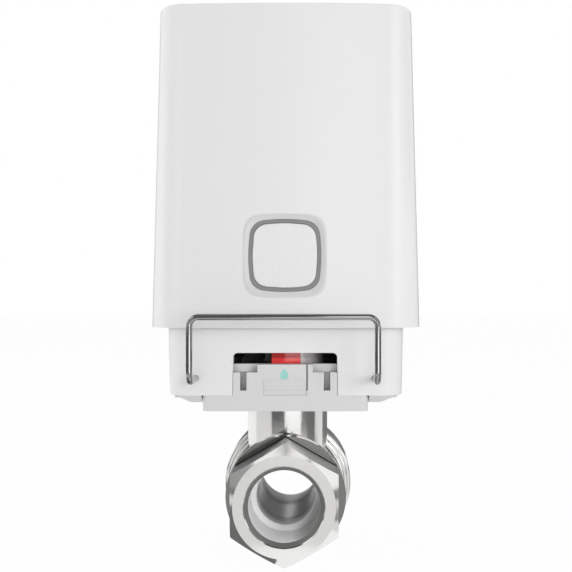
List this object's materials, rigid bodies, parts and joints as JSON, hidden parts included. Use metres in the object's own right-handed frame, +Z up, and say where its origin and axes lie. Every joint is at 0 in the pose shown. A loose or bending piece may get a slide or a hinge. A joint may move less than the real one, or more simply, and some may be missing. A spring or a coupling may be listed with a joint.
{
  "type": "smart water valve",
  "caption": "Battery actuator with a tall tapered cap and round-cornered button, locked by a wire bracket onto a quarter-turn ball valve with female threaded hex ends.",
  "frame": {"origin": "on the pipe axis where the thread of the front port starts, 1.3 mm behind its mouth", "axes": "+Z up along the valve stem, -Y out of the front port towards the viewer, +X to the viewer's right"},
  "size_m": [0.0728, 0.0653, 0.1498],
  "materials": {
    "nickel_brass": "nickel-plated, turned and machined",
    "polished_ball": "polished hard chrome",
    "stem_metal": "turned",
    "seal_plastic": "smooth fluoropolymer",
    "seal_rubber": "matte",
    "platform_plastic": "fine satin moulding",
    "base_plastic": "fine satin moulding",
    "cover_plastic": "polished moulding",
    "button_plastic": "satin gloss moulding",
    "ring_plastic": "translucent grey light guide",
    "drum_plastic": "glossy black moulding",
    "pointer_red": "glossy red moulding",
    "bracket_chrome": "bright drawn wire",
    "gear_plastic": "natural acetal",
    "bushing_metal": "machined",
    "inner_plastic": "black moulding",
    "motor_metal": "drawn can",
    "screw_steel": "zinc-plated",
    "board_green": "green solder mask",
    "black_parts": "black mouldings",
    "led_clear": "clear package",
    "cell_wrap": "plain wrapped cells",
    "contact_metal": "plated spring steel"
  },
  "bodies": {
    "root": {"valve_body": "nickel_brass", "end_cap": "nickel_brass", "gland_nut": "stem_metal", "gear_axles": "stem_metal", "front_seat": "seal_plastic", "rear_seat": "seal_plastic", "thrust_washer": "seal_plastic", "stem_packing": "seal_plastic", "body_seal": "seal_rubber", "cover_gasket": "seal_rubber", "mount_platform": "platform_plastic", "chassis": "base_plastic", "cover": "cover_plastic", "light_ring": "ring_plastic", "output_bushing": "bushing_metal", "gearbox_lid": "inner_plastic", "inner_frame": "inner_plastic", "battery_tray": "inner_plastic", "motor": "motor_metal", "platform_screws": "screw_steel", "cover_screws": "screw_steel", "gearbox_screws": "screw_steel", "board_screws": "screw_steel", "main_board": "board_green", "button_switch": "black_parts", "radio_module": "black_parts", "status_leds": "led_clear", "batteries": "cell_wrap", "battery_contacts": "contact_metal"},
    "valve_drive": {"ball": "polished_ball", "stem": "stem_metal", "stem_o_rings": "seal_rubber", "coupling_drum": "drum_plastic", "position_pointer": "pointer_red", "output_shaft": "stem_metal", "output_gear": "gear_plastic"},
    "second_gear_body": {"second_gear": "gear_plastic"},
    "first_gear_body": {"first_gear": "gear_plastic"},
    "motor_rotor": {"motor_pinion": "bushing_metal", "motor_shaft": "stem_metal"},
    "button": {"button_cap": "button_plastic", "switch_actuator": "black_parts"},
    "bracket": {"locking_bracket": "bracket_chrome"}
  },
  "joints": [
    {"name": "valve_turn", "type": "hinge", "parent": "root", "child": "valve_drive", "pos_m": [0, 0.0262, 0], "axis": [0, 0, 1], "range_deg": [0, 90]},
    {"name": "second_gear_turn", "type": "hinge", "parent": "root", "child": "second_gear_body", "pos_m": [0.01478, 0.04098, 0.047], "axis": [0, 0, 1], "range_deg": [-301, 1]},
    {"name": "first_gear_turn", "type": "hinge", "parent": "root", "child": "first_gear_body", "pos_m": [0.00341, 0.04512, 0.051], "axis": [0, 0, 1], "range_deg": [-1, 901]},
    {"name": "motor_turn", "type": "hinge", "parent": "root", "child": "motor_rotor", "pos_m": [-0.00655, 0.04149, 0.055], "axis": [0, 0, 1], "range_deg": [-2251, 1]},
    {"name": "button_press", "type": "slide", "parent": "root", "child": "button", "axis": [0, 0.9997, -0.0262], "range_m": [0, 0.0005], "stiffness_N_per_m": 800},
    {"name": "bracket_pull", "type": "slide", "parent": "root", "child": "bracket", "axis": [0, -1, 0], "range_m": [0, 0.016]}
  ],
  "couplings": [
    {"joint": "second_gear_turn", "follows": "valve_turn", "ratio": -3.3333},
    {"joint": "first_gear_turn", "follows": "valve_turn", "ratio": 10},
    {"joint": "motor_turn", "follows": "valve_turn", "ratio": -25}
  ]
}
